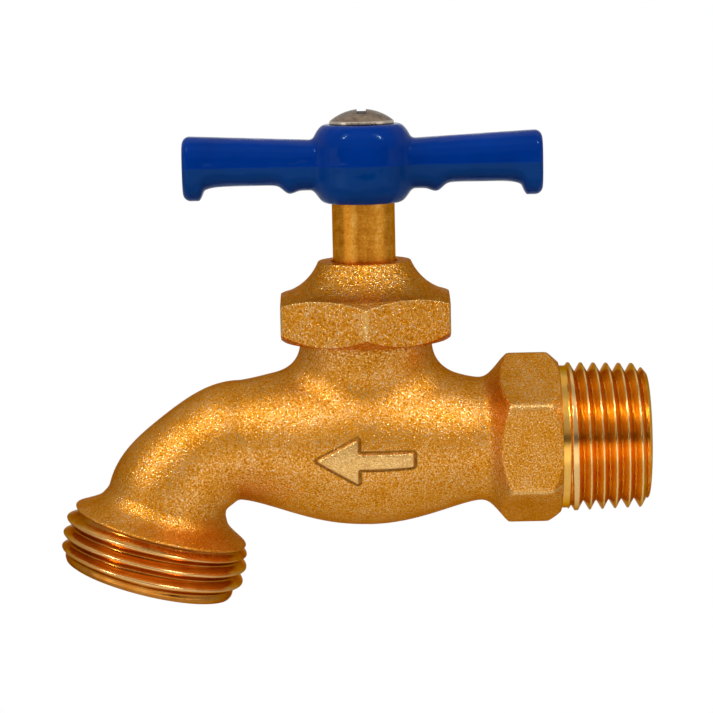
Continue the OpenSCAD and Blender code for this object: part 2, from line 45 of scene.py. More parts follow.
# Pipe inlet and wrench hexagon
PIPE_R = 10.32
PIPE_PITCH = 1.8143
PIPE_LEN = 11.6
PIPE_LAND = 1.0
PIPE_BORE_R = 6.35
PIPE_TAPER = 32
PIPE_CHAMFER = 1.12
PIPE_V_SHARE = 0.85
PIPE_FLATS = (0.1, 0.05)
PIPE_FIRST = 0.59
PIPE_RUN_ON = 0.1
PIPE_OVERLAP = 0.5
BORE_CHAMFER = 0.3
HEX_FLAT = 10.8
CROWN_R = 12.35
CROWN_LEN = 5.6
HEX_CHAMFER = 1.7

# Casting
GLOBE_R = 12.0
GLOBE_IN = 16.5
GLOBE_OUT = 18.5
WAIST_R = 8.6
NECK_R = 9.4
NECK_FILLET = 3.7
LEAST_FILLET = 0.3
SPOUT_RISE = 0.5
SPOUT_REACH = 26.7
RISE_START = 4.0
BEND_R = 11.0
BEND_DIP = 0.5
BEND_PULL = 0.75
TILT = math.radians(15.5)
OUTLET_REACH = 20.6
SPOUT_BORE_R = 6.0
WELL_R = 7.9
WELL_FLOOR = 0.5
FLANGE_R = 12.6
FLANGE_RIM = 0.4
HOSE_R = 13.495
HOSE_PITCH = 2.2087
HOSE_LEN = 7.7
PILOT_LEN = 1.2
HOSE_V_SHARE = 0.72
HOSE_FLATS = (0.16, 0.12)
HOSE_FIRST = 1.7
HOSE_SOFT = 0.7
HOSE_OVERLAP = 0.6
THREAD_LEAVE = 0.25
PILOT_UP = 0.25
MOUTH_R = 9.2
MOUTH_DEPTH = 7.0
MOUTH_CHAMFER = 0.3
MOUTH_STEP = 0.4

# Packing nut
NUT_FLAT = 12.0
NUT_BOTTOM = 14.8
NUT_H = 11.25
FOOT_INSET = 0.2
FOOT_SLOPE = 0.72
NUT_RIM_R = 6.6
BELL_R = 7.8
BELL_OVER = 2.95
STEM_HOLE_R = 4.7
NUT_ROOF = 1.9
NUT_CORNER_SOFT = 0.35
NUT_CHAMFER_SLOPE = math.tan(math.radians(30))
LEAST_CHAMFER = 0.1
NUT_ENTRY_R = 9.9
NUT_INSIDE = ((6.4, 24.1), (6.4, 21.5), (9.2, 21.0), (9.2, NUT_BOTTOM + 1.1),
              (NUT_ENTRY_R, NUT_BOTTOM + 1))

# Handle
HANDLE_HALF = 25.5
HUB_BOTTOM = 34.35
HUB_H = 11.1
HUB_R = 7.2
HUB_END_R = 5.55
ARM_H = 6.6
ARM_DEPTH = 7.4
ARM_RISE = 1.2
LIP_DROP = 2.0
LIP_LEN = 2.7
LIP_RAMP = 1.0
TIP_ROUND = 1.1
NUB_OUT = 3.5
NUB_DROP = 0.75
NUB_ROOT = 0.8
NUB_WIDE = 1.1
ROOT_REACH = 1.3
ARM_SQUARE = 2.667
ARM_FILLET = 0.7
ARM_BLEND = 2.4
HUB_EDGE = 0.4
ARM_LIFT = 0.4
PARTING_DROP = 0.5
SLOT_HALF = 0.68

# Worked-out places
HEX_END = INLET_REACH - PIPE_LEN - PIPE_LAND
CROWN_X1 = HEX_END - HEX_CHAMFER
CROWN_X0 = CROWN_X1 - CROWN_LEN
TURN = math.pi / 2 - TILT
BEND_LEN = BEND_R * math.tan(TURN / 2)
BEND_X = BEND_LEN - SPOUT_REACH
BEND_Z = SPOUT_RISE - BEND_R
FLANGE_S = OUTLET_REACH - HOSE_LEN
NECK_CAP = NUT_BOTTOM + 0.3
FILLET_X = NECK_R + NECK_FILLET + LEAST_FILLET
NUT_TOP = NUT_BOTTOM + NUT_H
HUB_TOP = HUB_BOTTOM + HUB_H
HUB_MID = HUB_BOTTOM + HUB_H / 2
SLOT_FLOOR = HUB_TOP + 1.55


def place(points):
    """Millimetres about the stem axis as metres in the part's frame."""
    return (np.asarray(points, float) - (INLET_REACH, 0, 0)) * MM


def ease(t):
    """0 below 0, 1 above 1, and the cubic 3t^2 - 2t^3 between."""
    t = np.clip(t, 0, 1)
    return t * t * (3 - 2 * t)


def soft_min(p, q, k):
    """The smaller of p and q, rounded over a width k where they are nearly alike."""
    return np.minimum(p, q) - np.maximum(k - np.abs(p - q), 0) ** 2 / (4 * k)


def soft_max(p, q, k):
    """The greater of p and q, rounded over a width k where they are nearly alike."""
    return -soft_min(-p, -q, k)


def flare(u, slope, soft):
    """A ramp of that slope which starts softly at u = 0."""
    return slope * (u + np.sqrt(u * u + soft * soft)) / 2


def flare_at(h, slope, soft):
    """Where such a ramp has risen by h."""
    return h / slope - soft * soft * slope / (4 * h)


def run(*spans):
    """Stations along a piece: spans are (start, end, count), and the last end is added."""
    parts = [np.linspace(a, b, n, endpoint=False) for a, b, n in spans]
    return np.concatenate(parts + [np.array([spans[-1][1]], float)])


def solve(field, low, high, steps=34):
    """The distance at which a field that grows along its rays passes zero, by halving."""
    low, high = np.array(low, float), np.array(high, float)
    for _ in range(steps):
        mid = (low + high) / 2
        inside = field(mid) < 0
        low, high = np.where(inside, mid, low), np.where(inside, high, mid)
    return (low + high) / 2


def hexagon(angle, flat, k):
    """Distance to a hexagon's side in a direction; a flat faces angle 0, and corners are
    rounded by k."""
    turn = np.pi / 3
    off = (angle + turn / 2) % turn - turn / 2
    return soft_min(flat / np.cos(off), flat / np.cos(turn - np.abs(off)), k)


def blur(rings, passes):
    """Rounds the edges that cross the rings: each ring moves to (before + 2 itself + after) / 4."""
    for _ in range(passes):
        rings = (np.roll(rings, 1, axis=0) + 2 * rings + np.roll(rings, -1, axis=0)) / 4
    return rings


def skin(name, rings, body, finish, stands_for=(), ring_closed=False, masks=None,
         crease=None):
    """One closed mesh through rings[i, j]. Each ring closes on itself. The first and the last
    ring close with a fan to their middle, or onto each other where ring_closed is set. Masks
    become attributes that a finish reads, and edges over crease degrees stay sharp."""
    m, n = rings.shape[:2]
    points = rings.reshape(-1, 3)
    i, j = np.meshgrid(np.arange(m if ring_closed else m - 1), np.arange(n), indexing="ij")
    a, b = i * n + j, i * n + (j + 1) % n
    c, d = ((i + 1) % m) * n + (j + 1) % n, ((i + 1) % m) * n + j
    quads = np.stack([a, b, c, d], axis=-1).reshape(-1, 4)
    fans = np.zeros((0, 3), int)
    if not ring_closed:
        around = np.arange(n)
        after = (around + 1) % n
        first, last = m * n, m * n + 1
        points = np.concatenate([points, rings[:1].mean(1), rings[-1:].mean(1)])
        fans = np.concatenate([
            np.stack([after, around, np.full(n, first)], axis=-1),
            np.stack([(m - 1) * n + around, (m - 1) * n + after, np.full(n, last)], axis=-1),
        ])
    tri = np.concatenate([quads[:, [0, 1, 2]], quads[:, [0, 2, 3]], fans])
    p, q, r = points[tri[:, 0]], points[tri[:, 1]], points[tri[:, 2]]
    if np.einsum("ij,ij->i", p, np.cross(q, r)).sum() < 0:
        quads, fans = quads[:, ::-1], fans[:, ::-1]
    mesh = bpy.data.meshes.new(name)
    mesh.from_pydata(place(points).tolist(), [], quads.tolist() + fans.tolist())
    mesh.shade_smooth()
    if crease:
        mesh.set_sharp_from_angle(angle=math.radians(crease))
    for key, value in (masks or {}).items():
        flat = np.zeros(len(points), np.float32)
        flat[: m * n] = np.broadcast_to(value, (m, n)).reshape(-1)
        mesh.attributes.new(key, "FLOAT", "POINT").data.foreach_set("value", flat)
    mesh.update()
    piece = bpy.data.objects.new(name, mesh)
    bpy.context.scene.collection.objects.link(piece)
    mesh.materials.append(finish)
    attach(piece, body)
    if stands_for:
        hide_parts(*stands_for)
    return piece


# Shapes


HEX_SLOPE, HEX_SOFT = 1.26, 0.9
FLANGE_SLOPE, FLANGE_SOFT = 1.9, 1.0
HEX_FLARE_X = CROWN_X0 - flare_at(CROWN_R - WAIST_R, HEX_SLOPE, HEX_SOFT)
FLANGE_FLARE_S = FLANGE_S - FLANGE_RIM - flare_at(FLANGE_R - WAIST_R, FLANGE_SLOPE, FLANGE_SOFT)
FLARE_EASE = 1.6
FLANGE_BREAK, FLANGE_BREAK_SLOPE = 0.25, 1.2
CAST_ANGLES = 264
CROWDING = 1.6
RAY_SPAN = (2.0, 36.0)
EDGE_SOFT = 0.25
EDGE_WEAR = 0.022
WEAR_START = 0.6
BORE_IN_END, BORE_OUT_END = 9.7, -13.0
BORE_TIP_R = 0.2
BORE_SKIN = 0.05
PIPE_FACE, HOSE_FACE = 0.9, 1.6


def turned_r(x):
    """Radius of the casting along the pipe axis: waist, globe bump (1 - (x/len)^2)^1.5, the flare
    into the hexagon's crown, the crown and its chamfer."""
    length = np.where(x < 0, GLOBE_OUT, GLOBE_IN)
    bump = np.maximum(0, 1 - (x / length) ** 2) ** 1.5
    body = WAIST_R + (GLOBE_R - WAIST_R) * bump
    body = body + np.where(x > 0, flare(x - HEX_FLARE_X, HEX_SLOPE, HEX_SOFT), 0)
    chamfer = HEX_FLAT + (HEX_END - x) * (CROWN_R - HEX_FLAT) / HEX_CHAMFER
    return soft_min(soft_min(body, CROWN_R, EDGE_SOFT), chamfer, EDGE_SOFT)


def axis_z(x):
    """Height of the casting's centre line: it eases up to the spout's height."""
    return SPOUT_RISE * ease((-x - RISE_START) / (SPOUT_REACH - BEND_LEN - RISE_START))


def cast_radius(x, angle):
    """Distance from the centre line to the casting's skin on its straight stretch: the turned
    shape, blended with the neck's cylinder where that rises from it."""
    x, angle = np.broadcast_arrays(x, angle)
    ca, sa = np.cos(angle), np.sin(angle)

    def field(rho):
        y = rho * ca
        out = np.sqrt(x * x + y * y)
        share = np.minimum(1, np.abs(y * ca) / np.maximum(out, 0.05))
        body = soft_min(rho - turned_r(x), out - NECK_R, LEAST_FILLET + NECK_FILLET * (1 - share))
        return np.maximum(body, axis_z(x) + rho * sa - NECK_CAP)

    near = (sa > 0) & (np.abs(x) < FILLET_X)
    start, stop = (np.full(x.shape, end) for end in RAY_SPAN)
    return np.where(near, solve(field, start, stop), turned_r(x))


def casting_rings():
    """Rings of the casting from the blind end of its inlet bore, out over the hexagon, globe, neck
    and spout to the flange, and back up the spout's bore. On the straight stretch the radius along
    each ray is where the globe, blended with the neck's cylinder, ends. The neck's top face drops
    into a well for the stem."""
    angle = np.arange(CAST_ANGLES) * 2 * np.pi / CAST_ANGLES
    ca, sa = np.cos(angle)[None], np.sin(angle)[None]
    neck_t = np.linspace(0, np.pi, 104)
    reach = FILLET_X - NECK_R
    flare_x = HEX_FLARE_X - 2.5
    x = np.concatenate([
        run((HEX_END, CROWN_X1, 9), (CROWN_X1, CROWN_X0, 14), (CROWN_X0, flare_x, 26))[:-1],
        run((flare_x, FILLET_X, 6))[:-1],
        NECK_R + reach * np.linspace(1, 0, 28, endpoint=False) ** CROWDING,
        NECK_R * np.cos(neck_t),
        -NECK_R - reach * np.linspace(0, 1, 29)[1:] ** CROWDING,
        run((-FILLET_X, BEND_X, 12))[1:-1],
    ])[:, None]

    rho = cast_radius(x, angle[None])
    boss = soft_min(rho, hexagon(angle, HEX_FLAT, EDGE_SOFT)[None], EDGE_SOFT)
    rho = np.where(x > FILLET_X, boss, rho)
    off = (angle[None] - np.pi / 6) % (np.pi / 3)
    corner = np.exp(-(np.minimum(off, np.pi / 3 - off) / EDGE_WEAR) ** 2)
    worn = corner * (x > CROWN_X0 - WEAR_START)
    straight = np.stack([np.broadcast_to(x, rho.shape), rho * ca, axis_z(x) + rho * sa], axis=-1)
    on_cap = straight[..., 2] > NECK_CAP - 0.05
    well = on_cap & (np.hypot(straight[..., 0], straight[..., 1]) < WELL_R)
    straight[..., 2] = np.where(well, WELL_FLOOR, straight[..., 2])

    t = np.linspace(0, TURN, 62)[:, None]
    middle = np.sin(np.pi * t / TURN) ** 2
    bend = bend_rings(t, BEND_R - BEND_PULL * middle, WAIST_R - BEND_DIP * middle, ca, sa)
    flare_s, rim_s = FLANGE_FLARE_S - 1.5, FLANGE_S - FLANGE_RIM - 0.5
    s = run((BEND_LEN, flare_s, 6), (flare_s, rim_s, 20), (rim_s, FLANGE_S, 8))[1:, None]
    rise = flare(s - FLANGE_FLARE_S, FLANGE_SLOPE, FLANGE_SOFT)
    spread = WAIST_R + rise * ease((s - BEND_LEN) / FLARE_EASE)
    broken = FLANGE_R - FLANGE_BREAK + (FLANGE_S - s) * FLANGE_BREAK_SLOPE
    lip = soft_min(soft_min(spread, FLANGE_R, EDGE_SOFT), broken, EDGE_SOFT)
    flange = outlet_rings(s, lip, ca, sa)

    in_r, out_r = PIPE_BORE_R - BORE_SKIN, SPOUT_BORE_R - BORE_SKIN
    bore_in = pipe_rings(
        np.array([BORE_IN_END, BORE_IN_END, HEX_END, HEX_END])[:, None],
        np.array([BORE_TIP_R, in_r, in_r, PIPE_R - PIPE_FACE])[:, None], ca, sa)
    mouth = outlet_rings(
        np.array([FLANGE_S, FLANGE_S, BEND_LEN])[:, None],
        np.array([HOSE_R - HOSE_FACE, out_r, out_r])[:, None], ca, sa)
    blind = pipe_rings(
        np.array([BORE_OUT_END, BORE_OUT_END])[:, None],
        np.array([out_r, BORE_TIP_R])[:, None], ca, sa) + (0, 0, SPOUT_RISE)
    back = bend_rings(np.linspace(TURN, 0, 14)[1:, None], BEND_R, out_r, ca, sa)
    bore_out = np.concatenate([mouth, back, blind])
    rings = np.concatenate([bore_in, straight, bend, flange, bore_out])
    raised = np.zeros(rings.shape[:2])
    raised[len(bore_in):len(bore_in) + len(straight)] = worn
    return rings, raised


ARROW_CORNERS = ((-7.4, 0), (-1.4, 3.3), (-1.4, 1.1), (6.4, 1.1), (6.4, -1.1), (-1.4, -1.1),
                 (-1.4, -3.3))
ARROW_PROFILE = ((0.5, -0.2), (0.42, 0.03), (0.28, 0.035), (0.12, 0.05), (0.02, 0.16),
                 (-0.07, 0.34), (-0.16, 0.44), (-0.3, 0.48))
ARROW_SHRINK = (0.8, 0.6, 0.4, 0.2, 0.02)
ARROW_HEART = (-2.4, 0.0)
ARROW_Z = -1.0
ARROW_POINTS = 280
ARROW_ROUNDING = 6
RUBBED_FROM, RUBBED_OVER = 0.2, 0.2
STAIN_AT, STAIN_OVER = 0.04, 0.12


def arrow_rings():
    """Cast flow arrow on the globe's front that points to the spout, with the masks of its rubbed
    top and its stained foot. Its outline, with rounded corners, rises from the skin along a bevel
    and shrinks to a point in the head on the flat top."""
    corners = np.array(ARROW_CORNERS + ARROW_CORNERS[:1], float)
    along = np.concatenate([[0], np.cumsum(np.linalg.norm(np.diff(corners, axis=0), axis=1))])
    at = np.linspace(0, along[-1], ARROW_POINTS, endpoint=False)
    line = np.stack([np.interp(at, along, corners[:, k]) for k in (0, 1)], axis=-1)
    line = blur(line, ARROW_ROUNDING)
    way = np.roll(line, -1, axis=0) - np.roll(line, 1, axis=0)
    way /= np.linalg.norm(way, axis=1, keepdims=True)
    aside = np.stack([-way[:, 1], way[:, 0]], axis=-1)
    profile, shrink = np.array(ARROW_PROFILE), np.array(ARROW_SHRINK)
    sides = line[None] + profile[:, :1, None] * aside[None]
    inner = ARROW_HEART + (sides[-1] - ARROW_HEART)[None] * shrink[:, None, None]
    foot = ARROW_HEART + (sides[0] - ARROW_HEART)[None] * shrink[-1]
    flat = np.concatenate([foot, sides, inner])
    top = np.full(len(shrink), profile[-1, 1])
    height = np.concatenate([profile[:1, 1], profile[:, 1], top])[:, None]
    x = flat[..., 0]
    angle = np.pi - np.arcsin((flat[..., 1] + ARROW_Z) / GLOBE_R)
    rho = cast_radius(x, angle) + height
    rings = np.stack([x, rho * np.cos(angle), axis_z(x) + rho * np.sin(angle)], axis=-1)
    rubbed = ease((height - RUBBED_FROM) / RUBBED_OVER)
    return rings, rubbed, 1 - ease(np.abs(height - STAIN_AT) / STAIN_OVER)


def pipe_rings(x, r, ca, sa):
    """Circles of radius r about the pipe axis at x."""
    return np.stack(np.broadcast_arrays(x + 0 * ca, r * ca, r * sa), axis=-1)


def bend_rings(t, c, r, ca, sa):
    """Circles of radius r carried round the bend's centre at a distance c, turned by t."""
    k = c + r * sa
    x, z = BEND_X - k * np.sin(t), BEND_Z + k * np.cos(t)
    return np.stack(np.broadcast_arrays(x, r * ca, z), axis=-1)


def outlet_rings(s, r, ca, sa):
    """Circles of radius r about the outlet's tilted axis, s below the corner of the spout."""
    k = r * sa
    return np.stack(np.broadcast_arrays(
        -SPOUT_REACH - s * math.sin(TILT) - k * math.cos(TILT), r * ca,
        SPOUT_RISE - s * math.cos(TILT) + k * math.sin(TILT)), axis=-1)


def groove(z, angle, first, pitch, flats, depth, last, leave, soft=0.0):
    """Depth of a right-hand thread groove at z and angle: a V with flat crest and root, rounded by
    a share soft, whose middle climbs one pitch a turn from first. Over the half turn before last
    it runs out, to leave below the full depth."""
    share = angle / (2 * np.pi)
    turn = np.round((z - first) / pitch - share) + share
    off = np.abs(z - first - turn * pitch) / pitch
    crest, root = (1 - flats[0]) / 2, flats[1] / 2
    sharp = np.clip((crest - off) / (crest - root), 0, 1)
    wave = np.cos(np.pi * np.minimum(off, 0.5)) ** 2
    v = ((1 - soft) * sharp + soft * wave) * depth
    out = (depth + leave) * np.clip(1 - 2 * (last - turn), 0, 2)
    return np.maximum(v - out, 0)


THREAD_ANGLES = 240
THREAD_CREASE = 50


def inlet_thread_rings():
    """Tapered pipe thread: a cone less a helical V groove, with a chamfered end, a plain land and
    the bore. The angle starts at the top. The mask is the height above the groove's root."""
    angle = np.arange(THREAD_ANGLES)[None] * 2 * np.pi / THREAD_ANGLES
    depth = PIPE_V_SHARE * PIPE_PITCH / 2 / math.tan(math.pi / 6)
    back = PIPE_LEN + PIPE_LAND + PIPE_OVERLAP
    z = run((back, PIPE_LEN, 6), (PIPE_LEN, 0.0, 176))[:, None]
    crest = np.interp(z, [0, PIPE_CHAMFER, PIPE_LEN - 0.4, PIPE_LEN, PIPE_LEN + 9],
                      [PIPE_R - depth, PIPE_R + 0.02, PIPE_R + 0.36, PIPE_R - 0.1, PIPE_R - 0.1])
    cut = groove(z, angle, PIPE_FIRST * PIPE_PITCH, PIPE_PITCH, PIPE_FLATS, depth,
                 (PIPE_LEN + PIPE_RUN_ON) / PIPE_PITCH - PIPE_FIRST, THREAD_LEAVE)
    full = PIPE_R + z / PIPE_TAPER
    outer = np.minimum(crest + 0 * angle, full - cut)
    face_r = np.array([PIPE_R - depth - 0.3, PIPE_BORE_R + BORE_CHAMFER,
                       PIPE_BORE_R, PIPE_BORE_R])[:, None]
    face_z = np.array([0.0, 0.0, BORE_CHAMFER, back])[:, None]
    r = np.concatenate([outer, face_r + 0 * angle])
    z = np.concatenate([z, face_z])
    high = np.concatenate([1 - (full - outer) / depth, 0 * face_r + 0 * angle])
    x = INLET_REACH - z + 0 * angle
    return np.stack([x, r * np.sin(angle), r * np.cos(angle)], axis=-1), high


CREST_ROUNDING = 14


def hose_thread_rings():
    """Straight hose thread: a cylinder less a helical V groove with rounded crests, a plain pilot
    at its end face and the mouth inside. The angle starts at the outer, upper side. The mask is
    the height above the groove's root."""
    angle = np.arange(THREAD_ANGLES)[None] * 2 * np.pi / THREAD_ANGLES
    depth = HOSE_V_SHARE * HOSE_PITCH / 2 / math.tan(math.pi / 6)
    root = HOSE_R - depth
    pilot = root + PILOT_UP
    s = run((-HOSE_OVERLAP, 0.0, 3), (0.0, HOSE_LEN, 120))[:, None]
    pilot_s = HOSE_LEN - PILOT_LEN
    crest = np.interp(s, [-1, 0.3, 1.0, pilot_s - 0.7, pilot_s, HOSE_LEN - 0.4, HOSE_LEN],
                      [root, root, HOSE_R, HOSE_R, pilot, pilot, pilot - 0.4])
    cut = groove(s, angle, HOSE_FIRST + HOSE_PITCH / 2, HOSE_PITCH, HOSE_FLATS, depth,
                 (HOSE_LEN - PILOT_LEN - HOSE_FIRST) / HOSE_PITCH, THREAD_LEAVE, HOSE_SOFT)
    outer = np.minimum(crest + 0 * angle, np.maximum(HOSE_R - cut, root))
    outer[1:-1] = blur(outer, CREST_ROUNDING)[1:-1]
    floor = HOSE_LEN - MOUTH_DEPTH
    face_r = np.array([MOUTH_R + MOUTH_CHAMFER, MOUTH_R, MOUTH_R, MOUTH_R - MOUTH_STEP,
                       SPOUT_BORE_R, SPOUT_BORE_R])[:, None]
    face_s = np.array([HOSE_LEN, HOSE_LEN - MOUTH_CHAMFER, floor + MOUTH_STEP, floor,
                       floor, -HOSE_OVERLAP])[:, None]
    r = np.concatenate([outer, face_r + 0 * angle])
    s = np.concatenate([s, face_s]) + FLANGE_S
    high = np.concatenate([(outer - root) / depth, 0 * face_r + 0 * angle])
    return outlet_rings(s, r, np.sin(angle), np.cos(angle)), high


NUT_ANGLES = 300
NUT_ROUNDING = 3
BRIM_WEAR_ROWS = 1.6


def nut_rings():
    """Packing nut: in each direction the outline goes along the bottom face, up its chamfer to the
    hexagon's side, over the upper chamfer in to the brim, up a hollow arc to the rim, and back
    through the stem's hole and the room for the packing. The mask is the worn edges."""
    angle = np.arange(NUT_ANGLES)[None] * 2 * np.pi / NUT_ANGLES
    side = hexagon(angle, NUT_FLAT, NUT_CORNER_SOFT)
    bell_z = NUT_TOP + BELL_OVER
    bell_x = NUT_RIM_R + math.sqrt(BELL_R ** 2 - BELL_OVER ** 2)
    brim_z = bell_z - math.sqrt(BELL_R ** 2 - (bell_x - NUT_FLAT) ** 2)
    a0 = math.atan2(brim_z - bell_z, NUT_FLAT - bell_x)
    a1 = math.atan2(NUT_TOP - bell_z, NUT_RIM_R - bell_x)
    arc = np.linspace(a0 % (2 * math.pi), a1 % (2 * math.pi), 70)[:, None]
    u = np.linspace(0, 1, 14)[:, None]
    wall = np.linspace(0, 1, 46)[:, None]
    foot_r = NUT_FLAT - FOOT_INSET
    low_z = NUT_BOTTOM + (side - foot_r) * FOOT_SLOPE
    high_z = brim_z - np.maximum(side - NUT_FLAT, LEAST_CHAMFER) * NUT_CHAMFER_SLOPE
    inside = np.array(NUT_INSIDE)
    flat = 0 * angle
    r = np.concatenate([
        NUT_ENTRY_R + (foot_r - NUT_ENTRY_R) * u + flat,
        foot_r + (side - foot_r) * u,
        side + 0 * wall,
        side + (NUT_FLAT - side) * u,
        bell_x + BELL_R * np.cos(arc) + flat,
        NUT_RIM_R + (STEM_HOLE_R - NUT_RIM_R) * u + flat,
        STEM_HOLE_R + 0 * u + flat,
        inside[:, :1] + flat,
    ])
    z = np.concatenate([
        NUT_BOTTOM + 0 * u + flat,
        NUT_BOTTOM + (low_z - NUT_BOTTOM) * u,
        low_z + (high_z - low_z) * wall,
        high_z + (brim_z - high_z) * u,
        bell_z + BELL_R * np.sin(arc) + flat,
        NUT_TOP + 0 * u + flat,
        NUT_TOP - NUT_ROOF * u + flat,
        inside[:, 1:] + flat,
    ])
    r, z = blur(r, NUT_ROUNDING), blur(z, NUT_ROUNDING)
    row = np.arange(len(r))[:, None] - 2 * len(u) - len(wall)
    off = (angle + np.pi / 6) % (np.pi / 3)
    on_wall = np.abs(row + len(wall) / 2) < len(wall) / 2
    corner = np.exp(-(np.minimum(off, np.pi / 3 - off) / EDGE_WEAR) ** 2) * on_wall
    worn = np.maximum(corner, np.exp(-(row / BRIM_WEAR_ROWS) ** 2))
    return np.stack([r * np.cos(angle), r * np.sin(angle), z], axis=-1), worn


HANDLE_ANGLES = 180


def arm_section(x):
    """Upper and lower reach and half depth of the arms about their middle, at a distance x from the
    stem axis: a slightly rising bar with a lip under its rounded tip and a lump near the hub."""
    end = np.clip((x - HANDLE_HALF + TIP_ROUND) / TIP_ROUND, 0, 1)
    shrink = TIP_ROUND * (1 - np.sqrt(np.maximum(0, 1 - end ** 2)))
    top = ARM_H / 2 + ARM_RISE * (x / HANDLE_HALF - 0.5) - shrink
    back = HANDLE_HALF - x - LIP_LEN
    lip = 0.6 * ease(0.5 - back / LIP_RAMP) + 0.4 * np.exp(-np.maximum(back, 0) / LIP_RAMP)
    off = x - HUB_R - NUB_OUT
    root = NUB_ROOT * (1 - ease((off + ROOT_REACH) / (2 * ROOT_REACH)))
    nub = NUB_DROP * np.exp(-(off / NUB_WIDE) ** 2) + root
    low = ARM_H / 2 - shrink + LIP_DROP * lip + nub
    return top, low, ARM_DEPTH / 2 - shrink


def handle_rings():
    """Tee handle: along each ray from the arms' centre line, the place where the barrel hub,
    blended with the arms' rounded-square sections, ends."""
    angle = np.arange(HANDLE_ANGLES)[None] * 2 * np.pi / HANDLE_ANGLES
    ca, sa = np.cos(angle), np.sin(angle)
    lip_x, nub_x = HANDLE_HALF - 4.5, HUB_R + 5.5
    over_hub = np.cos(np.linspace(0, np.pi / 2, 46))
    half = np.concatenate([
        HANDLE_HALF - TIP_ROUND * (1 - np.cos(np.linspace(0, np.pi / 2, 12))),
        run((HANDLE_HALF - TIP_ROUND, lip_x, 32), (lip_x, nub_x, 16), (nub_x, HUB_R + 1.0, 34))[1:],
        HUB_R * over_hub + over_hub ** 6,
    ])
    half[-1] = 0
    x = np.concatenate([half, -half[-2::-1]])
    x = x[np.concatenate([[True], np.diff(x) < -1e-6])][:, None]
    away = np.abs(x)
    top, low, d = arm_section(np.maximum(away, HUB_R - ARM_BLEND))
    centre = HUB_MID + ARM_LIFT

    def field(rho):
        y, z = rho * ca, centre + rho * sa
        h = np.where(sa > 0, top, low)
        square = (np.abs(y) / d) ** ARM_SQUARE + (np.abs(rho * sa) / h) ** ARM_SQUARE
        arm = square ** (1 / ARM_SQUARE) - 1
        t = np.clip((z - HUB_MID) / (HUB_H / 2), -1, 1)
        wall = np.sqrt(x * x + y * y) - HUB_END_R - (HUB_R - HUB_END_R) * (1 - t ** 4)
        hub = soft_max(wall, np.abs(z - HUB_MID) - HUB_H / 2, HUB_EDGE)
        return soft_min(arm * np.minimum(top, d), hub, ARM_FILLET)

    shape = (len(x), HANDLE_ANGLES)
    rho = solve(field, np.full(shape, 0.1), np.full(shape, 16.0))
    return np.stack(np.broadcast_arrays(x + 0 * rho, rho * ca, centre + rho * sa), axis=-1)


# Finishes


class Reading:
    """A socket in one finish's node tree. Arithmetic on it adds Math nodes."""

    def __init__(self, finish, socket):
        self.finish, self.socket = finish, socket

    def _math(self, operation, a, b):
        return self.finish.node("ShaderNodeMath", {"operation": operation}, {0: a, 1: b})

    def __add__(self, other):
        return self._math("ADD", self, other)

    def __radd__(self, other):
        return self._math("ADD", other, self)

    def __sub__(self, other):
        return self._math("SUBTRACT", self, other)

    def __rsub__(self, other):
        return self._math("SUBTRACT", other, self)

    def __mul__(self, other):
        return self._math("MULTIPLY", self, other)

    def __rmul__(self, other):
        return self._math("MULTIPLY", other, self)

    def __truediv__(self, other):
        return self._math("DIVIDE", self, other)

    def __rtruediv__(self, other):
        return self._math("DIVIDE", other, self)

    def __pow__(self, other):
        return self._math("POWER", self, other)


